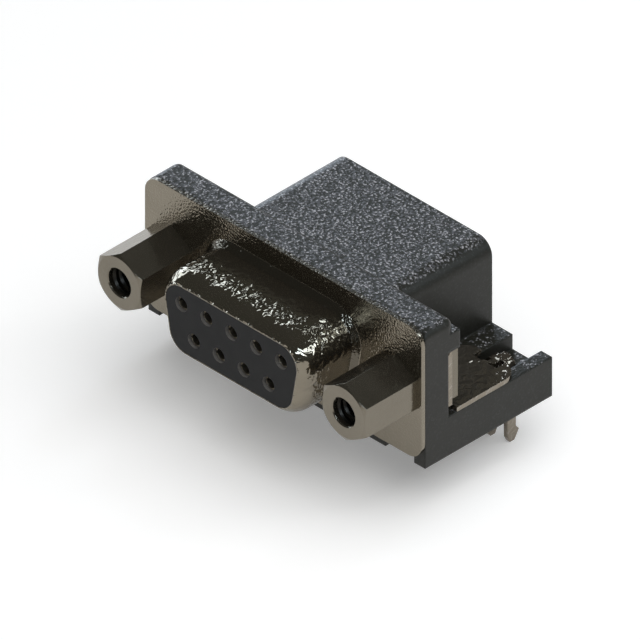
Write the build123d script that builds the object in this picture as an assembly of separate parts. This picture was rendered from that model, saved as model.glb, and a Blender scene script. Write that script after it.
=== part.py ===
from build123d import *
import math
import os

# Right-angle nine way socket connector for a circuit board, in millimetres.
# The origin is the middle of the D on the flange's front face.
# +X runs along the width, +Y to the rear over the board, +Z up from the board.

# Contact pattern, and the first row of tails behind the flange
PITCH = 2.77
ROW_GAP = 2.84
UPPER_COUNT = 5
LOWER_COUNT = 4
NEAR_ROW = 10.287

# Stamped front shell
SHELL_SHEET = 0.4
FLANGE_MARGIN = 2.905
FLANGE_HEIGHT = 12.5
FLANGE_CORNER = 1.5
SNOUT_LENGTH = 5.8
SNOUT_WIDTH = 16.33
SNOUT_HEIGHT = 7.9
SNOUT_CORNER = 2.6
SNOUT_SLANT = 10
SNOUT_ROOT = 0.5
LIP_RADIUS = 2.2
LIP_INSET = 0.8
LIP_EDGE = 0.08

# Jackscrews and their square nuts
SCREW_SPACING = 24.99
SCREW_RADIUS = 1.4
SCREW_THREAD_GAP = 0.02
SCREW_STICK_OUT = 0.42
SCREW_HOLE = 1.55
HEX_FLATS = 4.75
HEX_FACE_INSET = 0.05
HEX_CHAMFER_ANGLE = 30
SOCKET_RADIUS = 1.25
SOCKET_DEPTH = 4.8
SOCKET_ENTRY = 0.1
NUT_SIZE = 4.75
NUT_THICKNESS = 1.35
NUT_CHAMFER = 0.2

# Insulators
FIT = 0.04
INSULATOR_RIM = 0.9
FRONT_RIM_DEPTH = 1.1
REAR_RIM_DEPTH = 1.1
REAR_BODY_MARGIN = 1.96
REAR_BODY_COVER = 1.82
REAR_BODY_LENGTH = 4.7
WINDOW_CORNER = 0.8
WINDOW_DEPTH = 1.3

# Contacts
SOCKET_OUTER = 0.62
SOCKET_INNER = 0.5
SOCKET_RECESS = 0.3
SOCKET_LENGTH = 5.0
SOCKET_SLOT = 0.16
SOCKET_SLOT_LENGTH = 3.2
SHOULDER_WIDTH = 1.5
SHOULDER_LENGTH = 0.6
TAIL_WIDTH = 0.6
TAIL_BEND = 0.35
TAIL_TIP = -10.3
TAIL_TAPER = 0.15

# Moulded bracket housing
PLATE_TOP = 5.85
PLATE_BOTTOM = -6.2
PLATE_BACK = 3.7
PLATE_EDGE = 0.7
BACKING_TOP = 4.5
BACKING_BACK = 4.3
HOOD_WALL = 0.8
HOOD_ROOM = 0.43
HOOD_CORNER = 1.45
HOOD_BACK_MARGIN = 1.42
BASE_LEDGE = 2.27
DECK = -3.35
BOARD = -7.08
FOOT_WALL = 1.22
CHANNEL_FLOOR = -4.77

# Tail spacer in the open bottom of the hood
SPACER_FRONT_MARGIN = 1.2
SPACER_THICKNESS = 1.2
SPACER_RAISE = 0.6
SPACER_LEAD = 0.15

# Ground bracket, one folded sheet each side
BRACKET_SHEET = 0.43
BRACKET_WIDTH = 6.0
BRACKET_FRONT = 3.0
BRACKET_TOP = 3.3
BRACKET_CORNER = 1.0
BRACKET_BEND = 0.3
BRACKET_REAR = 10.9
BRACKET_REAR_CORNER = 1.5
RELIEF_WIDTH = 0.8
RELIEF_RUN = 0.95
POCKET_GAP = 0.1

# Board lock prongs at the end of each bracket
LOCK_SPREAD = 2.105
LOCK_STAGGER = 0.735
LOCK_BARB_WIDTH = 1.26
LOCK_NECK_WIDTH = 0.92
LOCK_SHOULDER = -9.8
LOCK_BARB = -10.2
LOCK_SLANT = -10.55
LOCK_TIP = -11.06
LOCK_TIP_INSET = 0.25
LOCK_TIP_WIDTH = 0.5
TONGUE_ROOT = 9.9
TONGUE_DROP = 0.43
TONGUE_JOG = 0.5
TONGUE_SLIT = 0.25

# How near an edge lies to a plane that it is picked by
TOUCH = 0.01

FAR_ROW = NEAR_ROW + ROW_GAP
LOCK_CENTRE = (NEAR_ROW + FAR_ROW) / 2
SCREW_X = SCREW_SPACING / 2
HALF_WIDTH = SCREW_X + FLANGE_MARGIN
REAR_BODY_WIDTH = (UPPER_COUNT - 1) * PITCH + 2 * REAR_BODY_MARGIN
REAR_BODY_HEIGHT = ROW_GAP + 2 * REAR_BODY_COVER
JOINT = SHELL_SHEET + FRONT_RIM_DEPTH
RIM_BACK = JOINT + REAR_RIM_DEPTH
REAR_BODY_BACK = JOINT + REAR_BODY_LENGTH
CAVITY_FRONT = RIM_BACK + WINDOW_DEPTH
CAVITY_HALF = REAR_BODY_WIDTH / 2 + HOOD_ROOM
CAVITY_TOP = REAR_BODY_HEIGHT / 2 + HOOD_ROOM
CAVITY_BACK = FAR_ROW + HOOD_BACK_MARGIN - HOOD_WALL
HOOD_HALF = CAVITY_HALF + HOOD_WALL
HOUSING_BACK = CAVITY_BACK + HOOD_WALL
BASE_HALF = HOOD_HALF + BASE_LEDGE
BRACKET_INNER = HALF_WIDTH - BRACKET_WIDTH
NUT_FRONT = BRACKET_FRONT + BRACKET_SHEET
SCREW_END = NUT_FRONT + NUT_THICKNESS + SCREW_STICK_OUT


def slab(profile, front, back):
    """Extrude an X-Z profile from Y = front to Y = back."""
    return extrude(Plane.XZ.offset(-back) * profile, back - front)


def block(x0, x1, y0, y1, z0, z1):
    return Pos((x0 + x1) / 2, (y0 + y1) / 2, (z0 + z1) / 2) * Box(x1 - x0, y1 - y0, z1 - z0)


def rod(x, z, radius, front, back):
    return slab(Pos(x, z) * Circle(radius), front, back)


def both_sides(solid):
    return solid + mirror(solid, Plane.YZ)


def d_profile(inset):
    """The D outline, moved inward by inset all round."""
    slant = math.radians(SNOUT_SLANT)
    corner_x = SNOUT_WIDTH / 2 - SNOUT_CORNER
    corner_z = SNOUT_HEIGHT / 2 - SNOUT_CORNER
    middle = corner_x + SNOUT_CORNER / math.cos(slant) - corner_z * math.tan(slant)
    half = SNOUT_HEIGHT / 2 - inset
    side = middle - inset / math.cos(slant)
    wide = side + half * math.tan(slant)
    narrow = side - half * math.tan(slant)
    outline = Polygon((-wide, half), (-narrow, -half), (narrow, -half), (wide, half))
    return fillet(outline.vertices(), SNOUT_CORNER - inset)


def lip_start():
    """Y where the snout's front edge begins to curl inward."""
    return -SNOUT_LENGTH + math.sqrt(LIP_RADIUS**2 - (LIP_RADIUS - LIP_INSET) ** 2)


def curled_plug():
    """The outside of the snout, its front edge curling inward."""
    front = lip_start() - LIP_RADIUS
    plug = slab(d_profile(0), front, SHELL_SHEET)
    rim = plug.edges().filter_by_position(Axis.Y, front - TOUCH, front + TOUCH)
    plug = fillet(rim, LIP_RADIUS)
    return plug - block(-SNOUT_WIDTH, SNOUT_WIDTH, front, -SNOUT_LENGTH, -SNOUT_HEIGHT, SNOUT_HEIGHT)


def tapered_plug(inset, back):
    """A D plug that fits inside the snout, tapered in under the curled lip."""
    plug = slab(d_profile(inset), -SNOUT_LENGTH, back)
    face = plug.faces().sort_by(Axis.Y)[0]
    depth = lip_start() + SNOUT_LENGTH
    return chamfer(face.edges(), LIP_INSET + LIP_EDGE - SHELL_SHEET, depth, reference=face)


def inside_d(edge):
    return abs(edge.center().X) < SNOUT_WIDTH / 2 + TOUCH and abs(edge.center().Z) < SNOUT_HEIGHT / 2 + TOUCH


def front_shell():
    flange = RectangleRounded(2 * HALF_WIDTH, FLANGE_HEIGHT, FLANGE_CORNER)
    shell = curled_plug() + slab(flange, 0, SHELL_SHEET)
    root = shell.edges().filter_by_position(Axis.Y, -TOUCH, TOUCH)
    shell = chamfer(root.filter_by(inside_d), SNOUT_ROOT)
    shell -= tapered_plug(SHELL_SHEET, SHELL_SHEET)
    mouth = shell.edges().filter_by_position(Axis.Y, SHELL_SHEET - TOUCH, SHELL_SHEET + TOUCH)
    shell = chamfer(mouth.filter_by(inside_d), SHELL_SHEET)
    for side in (-1, 1):
        shell -= rod(side * SCREW_X, 0, SCREW_HOLE, -1, 1)
    return shell


def contact_places():
    """(x, z, y of the tail) for every contact, upper row first."""
    places = []
    for i in range(UPPER_COUNT):
        places.append(((i - (UPPER_COUNT - 1) / 2) * PITCH, ROW_GAP / 2, FAR_ROW))
    for i in range(LOWER_COUNT):
        places.append(((i - (LOWER_COUNT - 1) / 2) * PITCH, -ROW_GAP / 2, NEAR_ROW))
    return places


def front_insulator():
    body = tapered_plug(SHELL_SHEET + FIT, SHELL_SHEET)
    body += slab(d_profile(-INSULATOR_RIM), SHELL_SHEET, JOINT)
    for x, z, _ in contact_places():
        body -= rod(x, z, SOCKET_OUTER + FIT, -SNOUT_LENGTH - 1, JOINT + 1)
    return body


def square_bar(x, z, width, front, back):
    return block(x - width / 2, x + width / 2, front, back, z - width / 2, z + width / 2)


def rear_insulator():
    body = slab(d_profile(-INSULATOR_RIM), JOINT, RIM_BACK)
    core = RectangleRounded(REAR_BODY_WIDTH, REAR_BODY_HEIGHT, WINDOW_CORNER)
    body += slab(core, JOINT, REAR_BODY_BACK)
    for x, z, _ in contact_places():
        body -= square_bar(x, z, SHOULDER_WIDTH + 2 * FIT, JOINT - 1, JOINT + SHOULDER_LENGTH + FIT)
        body -= square_bar(x, z, TAIL_WIDTH + 2 * FIT, JOINT, REAR_BODY_BACK + 1)
    return body


def split_socket(x, z):
    """The rolled socket of one contact, split on both sides so that it springs on the pin."""
    front = -SNOUT_LENGTH + SOCKET_RECESS
    socket = rod(x, z, SOCKET_OUTER, front, JOINT)
    socket -= rod(x, z, SOCKET_INNER, front - 1, front + SOCKET_LENGTH)
    return socket - block(x - SOCKET_OUTER, x + SOCKET_OUTER, front - 1, front + SOCKET_SLOT_LENGTH,
                          z - SOCKET_SLOT / 2, z + SOCKET_SLOT / 2)


def contact(x, z, tail_y):
    """One contact: split socket, square shoulder, and a square tail turned down to the board."""
    half = TAIL_WIDTH / 2
    back = tail_y + half
    tail = square_bar(x, z, TAIL_WIDTH, JOINT, back)
    tail += block(x - half, x + half, tail_y - half, back, TAIL_TIP, z + half)
    bend = tail.edges().filter_by(Axis.X).sort_by(Axis.Z).group_by(Axis.Y)[-1][-1]
    tail = chamfer(bend, TAIL_BEND)
    tip = tail.edges().filter_by_position(Axis.Z, TAIL_TIP - TOUCH, TAIL_TIP + TOUCH)
    tail = chamfer(tip, TAIL_TAPER)
    return split_socket(x, z) + square_bar(x, z, SHOULDER_WIDTH, JOINT, JOINT + SHOULDER_LENGTH) + tail


def tail_spacer():
    half = CAVITY_HALF - FIT
    back = CAVITY_BACK - FIT
    bottom = BOARD + SPACER_RAISE
    top = bottom + SPACER_THICKNESS
    plate = block(-half, half, NEAR_ROW - SPACER_FRONT_MARGIN, back, bottom, top)
    reach = TAIL_WIDTH / 2 + FIT
    for x, _, tail_y in contact_places():
        plate -= block(x - reach, x + reach, tail_y - reach, tail_y + reach, bottom - 1, top + 1)
    mouths = plate.faces().sort_by(Axis.Z)[-1].inner_wires()
    return chamfer([edge for wire in mouths for edge in wire.edges()], SPACER_LEAD)


def top_corners(outline, top):
    return outline.vertices().filter_by_position(Axis.Y, top - TOUCH, top + TOUCH)


def housing_plate():
    """The upright plate, rounded over its top and down its rear corners, with a lower ledge behind."""
    plate = block(-HALF_WIDTH, HALF_WIDTH, SHELL_SHEET, PLATE_BACK, PLATE_BOTTOM, PLATE_TOP)
    top = plate.edges().group_by(Axis.Z)[-1]
    rear_corners = plate.edges().filter_by(Axis.Z).group_by(Axis.Y)[-1]
    plate = fillet(top + rear_corners, PLATE_EDGE)
    return plate + block(-HALF_WIDTH, HALF_WIDTH, SHELL_SHEET, BACKING_BACK, PLATE_BOTTOM, BACKING_TOP)


def housing_hood():
    hood = block(-HOOD_HALF, HOOD_HALF, PLATE_BACK, HOUSING_BACK, BOARD, CAVITY_TOP + HOOD_WALL)
    edges = hood.edges().filter_by(Axis.Y).group_by(Axis.Z)[-1]
    hood = fillet(edges, HOOD_CORNER)
    return hood + block(-BASE_HALF, BASE_HALF, SHELL_SHEET, HOUSING_BACK, BOARD, DECK)


def housing_foot():
    wall = block(HALF_WIDTH - FOOT_WALL, HALF_WIDTH, SHELL_SHEET, HOUSING_BACK, BOARD, DECK)
    floor = block(HOOD_HALF, HALF_WIDTH, PLATE_BACK, HOUSING_BACK, PLATE_BOTTOM, CHANNEL_FLOOR)
    return wall + floor


def leg_outline(grow):
    """X-Z outline of the bracket's upright leg, down to the deck."""
    top = BRACKET_TOP + grow
    middle = (BRACKET_INNER + HALF_WIDTH) / 2
    outline = Pos(middle, (top + DECK) / 2) * Rectangle(BRACKET_WIDTH + 2 * grow, top - DECK)
    return fillet(top_corners(outline, top), BRACKET_CORNER + grow)


def prong_y():
    """Y range of the inner prong, then of the outer prong."""
    inner = LOCK_CENTRE - (LOCK_BARB_WIDTH + LOCK_STAGGER) / 2
    outer = inner + LOCK_STAGGER
    return (inner, inner + LOCK_BARB_WIDTH), (outer, outer + LOCK_BARB_WIDTH)


def bracket_room():
    """What the housing leaves free for one bracket: upright pocket, prong slot and screw hole."""
    pocket = slab(leg_outline(POCKET_GAP), BRACKET_FRONT, BACKING_BACK + 1)
    (slot_front, _), (_, slot_back) = prong_y()
    reach = LOCK_SPREAD / 2 + POCKET_GAP
    slot = block(SCREW_X - reach, SCREW_X + reach, slot_front - POCKET_GAP, slot_back + POCKET_GAP,
                 BOARD, CHANNEL_FLOOR + 1)
    return pocket + slot + rod(SCREW_X, 0, SCREW_HOLE, 0, BACKING_BACK)


def bracket_housing():
    body = housing_plate() + housing_hood() + both_sides(housing_foot())
    body -= slab(d_profile(-INSULATOR_RIM - FIT), 0, RIM_BACK + FIT)
    window = RectangleRounded(REAR_BODY_WIDTH + 2 * FIT, REAR_BODY_HEIGHT + 2 * FIT, WINDOW_CORNER)
    body -= slab(window, 0, CAVITY_FRONT + 1)
    body -= block(-CAVITY_HALF, CAVITY_HALF, CAVITY_FRONT, CAVITY_BACK, BOARD - 1, CAVITY_TOP)
    return body - both_sides(bracket_room())


def bent_sheet(points, start, length, plane):
    """A sheet bent along points in plane, centred on them, extruded from start by length."""
    centre = FilletPolyline(*points, radius=BRACKET_BEND + BRACKET_SHEET / 2)
    strip = make_face(offset(centre, BRACKET_SHEET / 2, side=Side.BOTH).edges())
    return extrude(plane.offset(start) * strip, length)


def prong_outline(front, back, barb_side):
    """Y-Z outline of a prong between front and back, with its barb on one side."""
    straight = front if barb_side > 0 else back
    neck = straight + barb_side * LOCK_NECK_WIDTH
    barb = straight + barb_side * LOCK_BARB_WIDTH
    tip_near = straight + barb_side * LOCK_TIP_INSET
    tip_far = tip_near + barb_side * LOCK_TIP_WIDTH
    return Polygon(
        (straight, DECK), (neck, DECK), (neck, LOCK_SHOULDER), (barb, LOCK_BARB),
        (tip_far, LOCK_TIP), (tip_near, LOCK_TIP), (straight, LOCK_SLANT), align=None)


def prong(front, back, side):
    """One prong, folded down from the tongue at side (+1 outer, -1 inner) of the screw's X."""
    level = DECK - TONGUE_DROP + BRACKET_SHEET / 2
    x = SCREW_X + side * (LOCK_SPREAD - BRACKET_SHEET) / 2
    points = [(SCREW_X, level), (x, level), (x, LOCK_TIP)]
    folded = bent_sheet(points, -back, back - front, Plane.XZ)
    outline = prong_outline(front, back, side)
    trim = extrude(Plane.YZ.offset(SCREW_X) * outline, LOCK_SPREAD, both=True)
    neck_front = front if side > 0 else back - LOCK_NECK_WIDTH
    top = block(SCREW_X - LOCK_SPREAD, SCREW_X + LOCK_SPREAD, neck_front, neck_front + LOCK_NECK_WIDTH,
                DECK - 1, DECK + 1)
    return folded & (trim + top)


def bracket_angle():
    """The L of the ground bracket, before its tongue."""
    upright = BRACKET_FRONT + BRACKET_SHEET / 2
    level = DECK + BRACKET_SHEET / 2
    angle = bent_sheet([(upright, BRACKET_TOP), (upright, level), (BRACKET_REAR, level)],
                       BRACKET_INNER, BRACKET_WIDTH, Plane.YZ)
    angle &= slab(leg_outline(0), BRACKET_FRONT - 1, BRACKET_REAR + 1)
    plan = Pos((BRACKET_INNER + HALF_WIDTH) / 2, BRACKET_REAR / 2) * Rectangle(BRACKET_WIDTH, BRACKET_REAR)
    plan = fillet(top_corners(plan, BRACKET_REAR), BRACKET_REAR_CORNER)
    angle &= extrude(Plane.XY.offset(DECK - 1) * plan, BRACKET_TOP - DECK + 2)
    angle -= rod(SCREW_X, 0, SCREW_HOLE, BRACKET_FRONT - 1, BRACKET_FRONT + 1)
    relief = block(HALF_WIDTH - RELIEF_WIDTH, HALF_WIDTH + 1, BRACKET_FRONT - 1, BRACKET_FRONT + RELIEF_RUN,
                   DECK - 1, DECK + RELIEF_RUN)
    root = LOCK_SPREAD / 2 + TONGUE_SLIT
    slit = block(SCREW_X - root, SCREW_X + root, TONGUE_ROOT, BRACKET_REAR + 1, DECK - 1, DECK + 1)
    return angle - relief - slit


def ground_bracket():
    (inner_front, inner_back), (outer_front, outer_back) = prong_y()
    level = DECK + BRACKET_SHEET / 2
    low = level - TONGUE_DROP
    jog = TONGUE_ROOT + BRACKET_SHEET / 4
    reach = LOCK_SPREAD / 2 - BRACKET_SHEET - BRACKET_BEND
    tongue = bent_sheet(
        [(TONGUE_ROOT - 1, level), (jog, level), (jog + TONGUE_JOG, low), (outer_front + LOCK_NECK_WIDTH, low)],
        SCREW_X - reach, 2 * reach, Plane.YZ)
    prongs = prong(inner_front, inner_back, -1) + prong(outer_front, outer_back, 1)
    return bracket_angle() + tongue + prongs


def hex_head():
    """The hexagonal standoff, its front corners turned down to a round face."""
    hexagon = Pos(SCREW_X, 0) * RegularPolygon(HEX_FLATS / 2, 6, major_radius=False, rotation=30)
    corner = HEX_FLATS / math.sqrt(3)
    face = HEX_FLATS / 2 - HEX_FACE_INSET
    rise = (corner - face) * math.tan(math.radians(HEX_CHAMFER_ANGLE))
    cone = Plane.XZ.offset(SNOUT_LENGTH - rise / 2) * Pos(SCREW_X, 0) * Cone(corner, face, rise)
    shaft = rod(SCREW_X, 0, corner, -SNOUT_LENGTH + rise, 0)
    return slab(hexagon, -SNOUT_LENGTH, 0) & (cone + shaft)


def jackscrew():
    screw = hex_head() + rod(SCREW_X, 0, SCREW_RADIUS, 0, SCREW_END)
    screw -= rod(SCREW_X, 0, SOCKET_RADIUS, -SNOUT_LENGTH - 1, -SNOUT_LENGTH + SOCKET_DEPTH)
    mouth = screw.edges().filter_by_position(Axis.Y, -SNOUT_LENGTH - TOUCH, -SNOUT_LENGTH + TOUCH)
    mouth = mouth.filter_by(lambda edge: edge.length < 2 * math.pi * SOCKET_RADIUS + TOUCH)
    return chamfer(mouth, SOCKET_ENTRY)


def screw_nut():
    nut = slab(Pos(SCREW_X, 0) * Rectangle(NUT_SIZE, NUT_SIZE), NUT_FRONT, NUT_FRONT + NUT_THICKNESS)
    back = nut.faces().sort_by(Axis.Y)[-1]
    nut = chamfer(back.edges(), NUT_CHAMFER)
    return nut - rod(SCREW_X, 0, SCREW_RADIUS + SCREW_THREAD_GAP, 0, SCREW_END + 1)


def write(name, solid):
    export_step(solid, os.path.join("parts", name + ".step"))


def main():
    os.makedirs("parts", exist_ok=True)
    write("front_shell", front_shell())
    write("front_insulator", front_insulator())
    write("rear_insulator", rear_insulator())
    write("bracket_housing", bracket_housing())
    write("tail_spacer", tail_spacer())
    for name, solid in (("ground_bracket", ground_bracket()), ("jackscrew", jackscrew()),
                        ("screw_nut", screw_nut())):
        write(name + "_right", solid)
        write(name + "_left", mirror(solid, Plane.YZ))
    for number, place in enumerate(contact_places(), 1):
        write("contact_%d" % number, contact(*place))


main()
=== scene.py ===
import math

import bpy
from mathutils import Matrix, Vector


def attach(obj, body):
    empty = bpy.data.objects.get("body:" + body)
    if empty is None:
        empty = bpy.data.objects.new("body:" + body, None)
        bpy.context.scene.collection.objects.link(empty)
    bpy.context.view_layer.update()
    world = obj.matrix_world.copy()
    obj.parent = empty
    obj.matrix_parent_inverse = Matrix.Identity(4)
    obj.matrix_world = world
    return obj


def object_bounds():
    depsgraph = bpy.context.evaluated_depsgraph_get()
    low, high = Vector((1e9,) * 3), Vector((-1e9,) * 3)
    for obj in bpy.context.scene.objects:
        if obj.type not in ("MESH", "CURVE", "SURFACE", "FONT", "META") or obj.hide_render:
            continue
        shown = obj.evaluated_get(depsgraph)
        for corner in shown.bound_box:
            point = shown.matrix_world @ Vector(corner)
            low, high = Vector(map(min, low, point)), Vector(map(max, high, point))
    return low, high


# A right-angle nine way board connector, in metres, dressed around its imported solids.

MM = 0.001

# The photograph: a true isometric view, 640 by 640
IMAGE = 640
PIXELS_PER_MM = 12.70
AZIMUTH = math.radians(45)
ELEVATION = math.radians(35.264)
CENTRE_X = 2.261 * MM
CENTRE_Y = 1.837 * MM
CAMERA_DISTANCE = 0.25

# Screw threads, in millimetres
SCREW_X = 12.495
THREAD_PITCH = 0.635
BORE_RADIUS = 1.25
BORE_CREST = 1.10
BORE_FRONT = -5.55
BORE_TURNS = 7
BORE_STEPS = 40
RIDGE_SINK = 0.02
RIDGE_BASE = THREAD_PITCH * 0.42
RIDGE_TIP = RIDGE_BASE * 0.15
SMOOTH_ANGLE = math.radians(30)

# Floor and lamps, with distances in metres
FLOOR_SIZE = 6
FLOOR_GLOW = 0.26
LAMP_DISTANCE = 0.5
COOL = (0.76, 0.87, 1)
COOLER = (0.66, 0.81, 1)

# How much of its colour the plating keeps at the flange's darkened top edge and under the painted shade at
# the snout's root
DARKENED_KEEPS = 0.35

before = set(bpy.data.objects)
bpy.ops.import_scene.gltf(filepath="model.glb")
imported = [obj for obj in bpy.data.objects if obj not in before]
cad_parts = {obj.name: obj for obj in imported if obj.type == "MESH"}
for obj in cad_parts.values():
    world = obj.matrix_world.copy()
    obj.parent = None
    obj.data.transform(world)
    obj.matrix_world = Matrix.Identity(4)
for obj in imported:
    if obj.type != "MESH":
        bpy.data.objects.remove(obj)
cad_low, cad_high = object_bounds()


class Socket:
    """A shader value that arithmetic can be written on."""

    def __init__(self, finish, link):
        self.finish = finish
        self.link = link

    def maths(self, operation, *values):
        node = self.finish.node("Math", {"operation": operation}, dict(enumerate(values)))
        return self.finish.value(node, 0)

    def __add__(self, other):
        return self.maths("ADD", self, other)

    __radd__ = __add__

    def __sub__(self, other):
        return self.maths("SUBTRACT", self, other)

    def __rsub__(self, other):
        return self.maths("SUBTRACT", other, self)

    def __mul__(self, other):
        return self.maths("MULTIPLY", self, other)

    __rmul__ = __mul__

    def larger(self, other):
        return self.maths("MAXIMUM", self, other)


class Finish:
    """One material's or the world's nodes."""

    def __init__(self, owner):
        owner.use_nodes = True
        self.owner = owner
        self.tree = owner.node_tree
        self.tree.nodes.clear()

    def node(self, kind, settings=None, inputs=None):
        made = self.tree.nodes.new("ShaderNode" + kind)
        for name, setting in (settings or {}).items():
            setattr(made, name, setting)
        for name, value in (inputs or {}).items():
            if isinstance(value, Socket):
                self.tree.links.new(value.link, made.inputs[name])
            else:
                made.inputs[name].default_value = value
        return made

    def value(self, node, name):
        return Socket(self, node.outputs[name])

    def get(self, kind, output, settings=None, inputs=None):
        return self.value(self.node(kind, settings, inputs), output)

    def ramp(self, factor, low, high):
        """0 below low, 1 above high, smooth between."""
        return self.get("MapRange", "Result", {"interpolation_type": "SMOOTHSTEP"},
                        {"Value": factor, "From Min": low, "From Max": high})

    def mix_colour(self, factor, first, second):
        node = self.node("Mix", {"data_type": "RGBA"}, {"Factor": factor})
        for place, colour in ((6, first), (7, second)):
            if isinstance(colour, Socket):
                self.tree.links.new(colour.link, node.inputs[place])
            else:
                node.inputs[place].default_value = (*colour, 1)
        return Socket(self, node.outputs[2])

    def place(self):
        """Object coordinates in millimetres."""
        point = self.get("TexCoord", "Object")
        size = (1 / MM, 1 / MM, 1 / MM)
        return self.get("Mapping", "Vector", {"vector_type": "POINT"}, {"Vector": point, "Scale": size})

    def noise(self, per_mm, detail=2.0, roughness=0.5, distortion=0.0):
        return self.get("TexNoise", "Fac", {"noise_dimensions": "3D"},
                        {"Vector": self.place(), "Scale": per_mm, "Detail": detail,
                         "Roughness": roughness, "Distortion": distortion})

    def facing(self, axis, low, high, direction=None):
        """0 to 1 as the part of the surface's direction that lies along the axis goes from low to high."""
        direction = direction or self.get("TexCoord", "Normal")
        parts = self.node("SeparateXYZ", {}, {"Vector": direction})
        return self.ramp(self.value(parts, axis), low, high)

    def along(self, axis, low, high):
        """0 below low and 1 above high, both in millimetres along the axis."""
        parts = self.node("SeparateXYZ", {}, {"Vector": self.place()})
        return self.ramp(self.value(parts, axis), low, high)

    def soft_edges(self, radius_mm):
        """The surface's direction, with its sharp edges eased."""
        return self.get("Bevel", "Normal", {"samples": 6}, {"Radius": radius_mm * MM})

    def bump(self, height, depth_mm, normal):
        return self.get("Bump", "Normal", {}, {"Height": height, "Distance": depth_mm * MM,
                                               "Strength": 1.0, "Normal": normal})

    def surface(self, inputs):
        shader = self.get("BsdfPrincipled", "BSDF", {}, inputs)
        self.node("OutputMaterial", {}, {"Surface": shader})
        return self.owner


def new_finish(name):
    return Finish(bpy.data.materials.new(name))


def moulded_plastic():
    """Black moulding, plain on its sides. The faces that look up have a hammered bump and a painted grey
    sheen of speckled reflection with painted glints in it. Lower down the sheen breaks into patches, painted
    shade from the hood.
    """
    f = new_finish("moulded_plastic")
    eased = f.soft_edges(0.25)
    up = f.facing("Z", 0.72, 0.97, eased)
    grain = f.noise(4.2, 1.0, 0.5)
    # Below 3 mm the painted sheen breaks into patches: painted shade from the hood over the low decks.
    high = f.along("Z", -2.5, 3.0)
    sheen_patches = f.ramp(f.noise(1.5, 1.0), 0.47, 0.60) * 0.9
    strength = up * (high + (1 - high) * sheen_patches) * 0.98 + 0.02
    # Painted sheen: the lamps' speckled reflection on the upward faces, painted into the colour, fading at
    # the rounded rims.
    painted_sheen = f.ramp(grain, 0.46, 0.55) * strength
    # Painted glints: pale spots within the painted sheen.
    painted_glint = f.ramp(f.noise(6.0, 0.0), 0.52, 0.70) * painted_sheen
    # Dark plastic, lifted to a bluish grey by the painted sheen; the painted glints are pale grey.
    base = f.mix_colour(painted_sheen, (0.0138, 0.0135, 0.0092), (0.066, 0.068, 0.074))
    return f.surface({
        "Base Color": f.mix_colour(painted_glint, base, (0.40, 0.40, 0.42)),
        "Roughness": f.noise(0.8) * 0.1 + 0.38,
        "Specular IOR Level": 0.30,
        "Normal": f.bump(grain * (up * 0.9 + 0.1), 0.05, eased),
    })


def insulator_plastic():
    """Smooth dark moulding round the contacts, with painted light on the walls of its holes."""
    f = new_finish("insulator_plastic")
    haze = f.noise(0.9, 3.0)
    face = f.mix_colour(haze, (0.0062, 0.0061, 0.0062), (0.0095, 0.0094, 0.0095))
    return f.surface({
        # The walls of the holes are painted pale: painted light where the lamps reach inside them.
        "Base Color": f.mix_colour(f.facing("Y", -0.9, -0.3), face, (0.17, 0.163, 0.155)),
        "Roughness": haze * 0.15 + 0.45,
        "Specular IOR Level": 0.20,
        "Normal": f.bump(f.noise(6.0), 0.004, f.soft_edges(0.04)),
    })


def even_peel(f, per_mm):
    """The soft orange peel of plated or turned metal."""
    return f.noise(per_mm, 1.0, 0.4, distortion=0.6)


def stamped_peel(f, per_mm):
    """Swirls, deepest where the snout's top turns to the lip, round its corners and at its cut rim,
    and a fine peel on the flange."""
    swirl = f.noise(per_mm, 1.0, 0.45, distortion=1.0) - 0.5
    fine = f.noise(5.0, 1.0, 0.5) - 0.5
    flange = f.along("Y", -0.9, -0.4)
    turn = (1 - f.along("Y", -3.7, -2.7)) * f.along("Y", -5.1, -4.3)
    corner = f.facing("Z", 0.3, 0.55) * (1 - f.facing("Z", 0.9, 0.98)) * f.along("Y", -4.2, -3.6)
    rim = 1 - f.along("Y", -5.79, -5.68)
    depth = turn * 0.9 + corner * 1.2 + rim * 2.5 + 0.6
    return (1 - flange) * swirl * depth + flange * fine * 0.45


def sheared_edge(f):
    """The flange's upper edge, where the sheet was cut, darkened more in some specks than in others."""
    specks = f.ramp(f.noise(5.0, 1.0), 0.40, 0.56) * 0.65 + 0.35
    return f.along("Y", 0.0, 0.03) * f.facing("Z", 0.5, 0.9) * specks


def painted_root_shade(f):
    """Painted shade on the slope at the snout's root."""
    return f.along("Y", -0.65, -0.45) * (1 - f.along("Y", -0.05, 0.0)) * 0.7


def plating(name, dull, bright, rough, depth_mm, per_mm, metallic=0.93, stamped=False):
    """Turned metal, or the front shell's stamped sheet, under thin plating; on the stamped sheet the
    flange's top edge is darkened and the snout's root gets painted shade.
    """
    f = new_finish(name)
    haze = f.noise(0.5, 3.0)
    colour = f.mix_colour(haze, dull, bright)
    roughness = haze * 0.05 + rough
    peel = stamped_peel(f, per_mm) if stamped else even_peel(f, per_mm)
    if stamped:
        # The flange's darker, rougher top edge, and painted shade at the snout's root.
        cut = sheared_edge(f)
        darkened_edge_and_root_shade = cut.larger(painted_root_shade(f))
        colour = f.mix_colour(darkened_edge_and_root_shade, colour, tuple(part * DARKENED_KEEPS for part in dull))
        roughness = roughness + cut * 0.3
    return f.surface({
        "Base Color": colour,
        "Metallic": metallic,
        "Roughness": roughness,
        "Normal": f.bump(peel, depth_mm, f.soft_edges(0.05)),
    })


def light_path(f):
    """1 for what the camera, a reflection or glass sees."""
    path = f.node("LightPath")
    camera, glossy, through = (f.value(path, "Is " + ray + " Ray")
                               for ray in ("Camera", "Glossy", "Transmission"))
    return camera.larger(glossy).larger(through)


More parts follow.
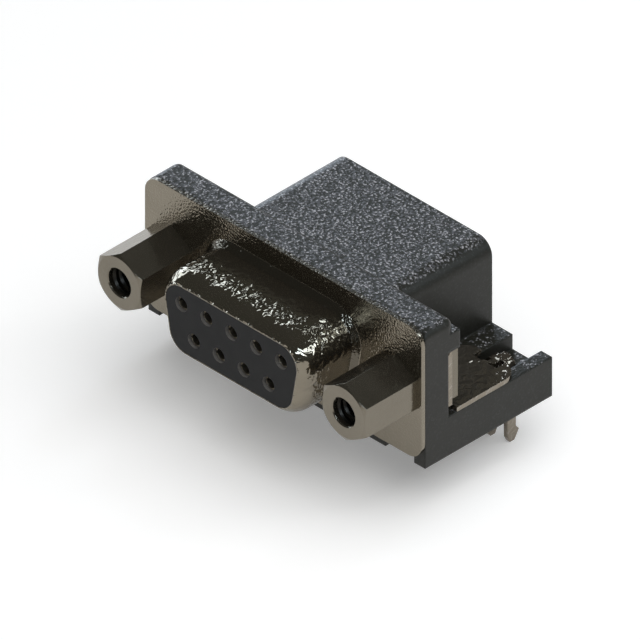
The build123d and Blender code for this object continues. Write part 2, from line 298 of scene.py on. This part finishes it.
def floor_finish():
    """Pale floor that keeps the object's shadow."""
    f = new_finish("pale_floor")
    diffuse = f.get("BsdfDiffuse", "BSDF", {}, {"Color": (0.90, 0.90, 0.905, 1)})
    glow = f.get("Emission", "Emission", {}, {"Color": (1, 1, 1, 1), "Strength": light_path(f) * FLOOR_GLOW})
    both = f.get("AddShader", "Shader", {}, {0: diffuse, 1: glow})
    f.node("OutputMaterial", {}, {"Surface": both})
    return f.owner


# What each node is made of
plastic = moulded_plastic()
insulator = insulator_plastic()
shell_plating = plating("shell_plating", (0.200, 0.177, 0.138), (0.240, 0.213, 0.167), 0.06, 0.11, 1.5,
                        stamped=True)
screw_plating = plating("screw_plating", (0.168, 0.149, 0.116), (0.203, 0.181, 0.144), 0.14, 0.018, 2.0,
                        metallic=0.90)
# Near black where the screw plating is tan: painted shade inside the standoff's bore.
shaded_bore_plating = plating("shaded_bore_plating", (0.020, 0.018, 0.015), (0.030, 0.027, 0.022), 0.35, 0.02, 4.0)
bracket_plating = plating("bracket_plating", (0.215, 0.187, 0.148), (0.275, 0.242, 0.196), 0.06, 0.17, 1.5,
                          metallic=0.90)
contact_plating = plating("contact_plating", (0.26, 0.225, 0.17), (0.34, 0.30, 0.235), 0.30, 0.04, 3.0)

FINISHES = {
    "bracket_housing": plastic,
    "tail_spacer": plastic,
    "front_insulator": insulator,
    "rear_insulator": insulator,
    "front_shell": shell_plating,
    "ground_bracket": bracket_plating,
    "jackscrew": screw_plating,
    "screw_nut": screw_plating,
    "contact": contact_plating,
}


def dress_nodes():
    for name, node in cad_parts.items():
        kind = next(k for k in FINISHES if name.startswith(k))
        for slot in node.material_slots:
            slot.material = FINISHES[kind]


def deselect():
    if bpy.context.object and bpy.context.object.mode != "OBJECT":
        bpy.ops.object.mode_set(mode="OBJECT")
    bpy.ops.object.select_all(action="DESELECT")


def settled(piece, finish):
    """Bake the piece's place into its mesh, and give it its finish and body."""
    bpy.ops.object.mode_set(mode="OBJECT")
    bpy.ops.object.transform_apply(location=True, rotation=True, scale=True)
    piece.data.materials.clear()
    piece.data.materials.append(finish)
    bpy.ops.object.shade_smooth_by_angle(angle=SMOOTH_ANGLE)
    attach(piece, "root")
    return piece


def bore_thread(side, sign):
    """The helical ridge on the wall of a standoff's bore."""
    deselect()
    wall = BORE_RADIUS + RIDGE_SINK
    profile = [(wall, -RIDGE_BASE), (wall, RIDGE_BASE), (BORE_CREST, RIDGE_TIP), (BORE_CREST, -RIDGE_TIP)]
    bpy.ops.mesh.primitive_circle_add(vertices=len(profile), radius=MM)
    piece = bpy.context.object
    piece.name = piece.data.name = "bore_thread_" + side
    for vertex, (radius, along) in zip(piece.data.vertices, profile):
        vertex.co = (radius * MM, along * MM, 0)
    screw = piece.modifiers.new("turns", "SCREW")
    screw.axis = "Y"
    screw.screw_offset = THREAD_PITCH * MM
    screw.iterations = BORE_TURNS
    screw.steps = screw.render_steps = BORE_STEPS
    bpy.ops.object.modifier_apply(modifier="turns")
    bpy.ops.object.mode_set(mode="EDIT")
    bpy.ops.mesh.select_mode(type="VERT")
    bpy.ops.mesh.select_all(action="SELECT")
    bpy.ops.mesh.fill_holes(sides=0)
    bpy.ops.mesh.select_all(action="SELECT")
    bpy.ops.mesh.normals_make_consistent(inside=False)
    bpy.ops.object.mode_set(mode="OBJECT")
    piece.location = (sign * SCREW_X * MM, (BORE_FRONT + RIDGE_BASE) * MM, 0)
    return settled(piece, shaded_bore_plating)


def make_floor():
    deselect()
    bpy.ops.mesh.primitive_plane_add(size=FLOOR_SIZE, location=(0, 0, cad_low.z))
    floor = bpy.context.object
    floor.name = "floor"
    floor.data.materials.append(floor_finish())


def make_world():
    """White at the horizon and dim above it, like a white floor under a dark ceiling."""
    world = bpy.data.worlds.new("room")
    bpy.context.scene.world = world
    f = Finish(world)
    direction = f.get("TexCoord", "Generated")
    parts = f.node("SeparateXYZ", {}, {"Vector": direction})
    height = f.value(parts, "Z")
    wall = 1 - f.ramp(height, -0.01, 0.03)
    colour = f.mix_colour(wall, (0.072, 0.075, 0.068), (1.0, 1.0, 1.0))
    glow = f.get("Background", "Background", {}, {"Color": colour, "Strength": 1.0})
    f.node("OutputWorld", {}, {"Surface": glow})


def softbox(name, azimuth, elevation, width, height, radiance, colour=(1, 1, 1), mirrored=True,
            lights=True):
    """A soft lamp that faces the object. Its angles are in degrees, azimuth from +X to +Y."""
    turn, rise = math.radians(azimuth), math.radians(elevation)
    away = Vector((math.cos(turn) * math.cos(rise), math.sin(turn) * math.cos(rise), math.sin(rise)))
    round_lamp = width == height
    lamp = bpy.data.lights.new(name, "AREA")
    lamp.shape = "DISK" if round_lamp else "RECTANGLE"
    lamp.size = 2 * LAMP_DISTANCE * math.tan(math.radians(width / 2))
    lamp.size_y = 2 * LAMP_DISTANCE * math.tan(math.radians(height / 2))
    area = lamp.size * lamp.size_y * (math.pi / 4 if round_lamp else 1)
    lamp.energy = radiance * math.pi * area
    lamp.color = colour
    thing = bpy.data.objects.new(name, lamp)
    bpy.context.scene.collection.objects.link(thing)
    thing.location = away * LAMP_DISTANCE
    thing.rotation_mode = "QUATERNION"
    thing.rotation_quaternion = away.to_track_quat("Z", "Y")
    thing.visible_camera = False
    thing.visible_glossy = mirrored
    thing.visible_diffuse = lights


def make_lamps():
    softbox("ceiling_fill", -15, 77, 80, 80, 1.82, mirrored=False)
    softbox("back_lamp", 97, 54, 10, 10, 5.5, COOL)
    softbox("rear_lamp", 46, 35, 14, 14, 5.0, mirrored=False)
    softbox("left_card", 165, 17.5, 54, 31, 5.2, COOL, lights=False)
    for number, azimuth in enumerate((46, 16, -14), 1):
        softbox("right_strip_%d" % number, azimuth, 35, 31, 10, 6.0, COOL, lights=False)
    softbox("front_strip", -44, 35, 31, 10, 12.0, COOLER, lights=False)


def make_camera():
    data = bpy.data.cameras.new("camera")
    data.type = "ORTHO"
    data.ortho_scale = IMAGE / PIXELS_PER_MM * MM
    data.clip_start = 0.001
    data.clip_end = 20
    camera = bpy.data.objects.new("camera", data)
    bpy.context.scene.collection.objects.link(camera)
    back = Vector((math.sin(AZIMUTH) * math.cos(ELEVATION), -math.cos(AZIMUTH) * math.cos(ELEVATION),
                   math.sin(ELEVATION)))
    camera.location = Vector((CENTRE_X, CENTRE_Y, 0)) + back * CAMERA_DISTANCE
    camera.rotation_mode = "QUATERNION"
    camera.rotation_quaternion = (-back).to_track_quat("-Z", "Y")
    bpy.context.scene.camera = camera


make_camera()
dress_nodes()
for side, sign in (("right", 1), ("left", -1)):
    bore_thread(side, sign)
make_floor()
make_world()
make_lamps()
bpy.context.scene.view_settings.view_transform = "Standard"
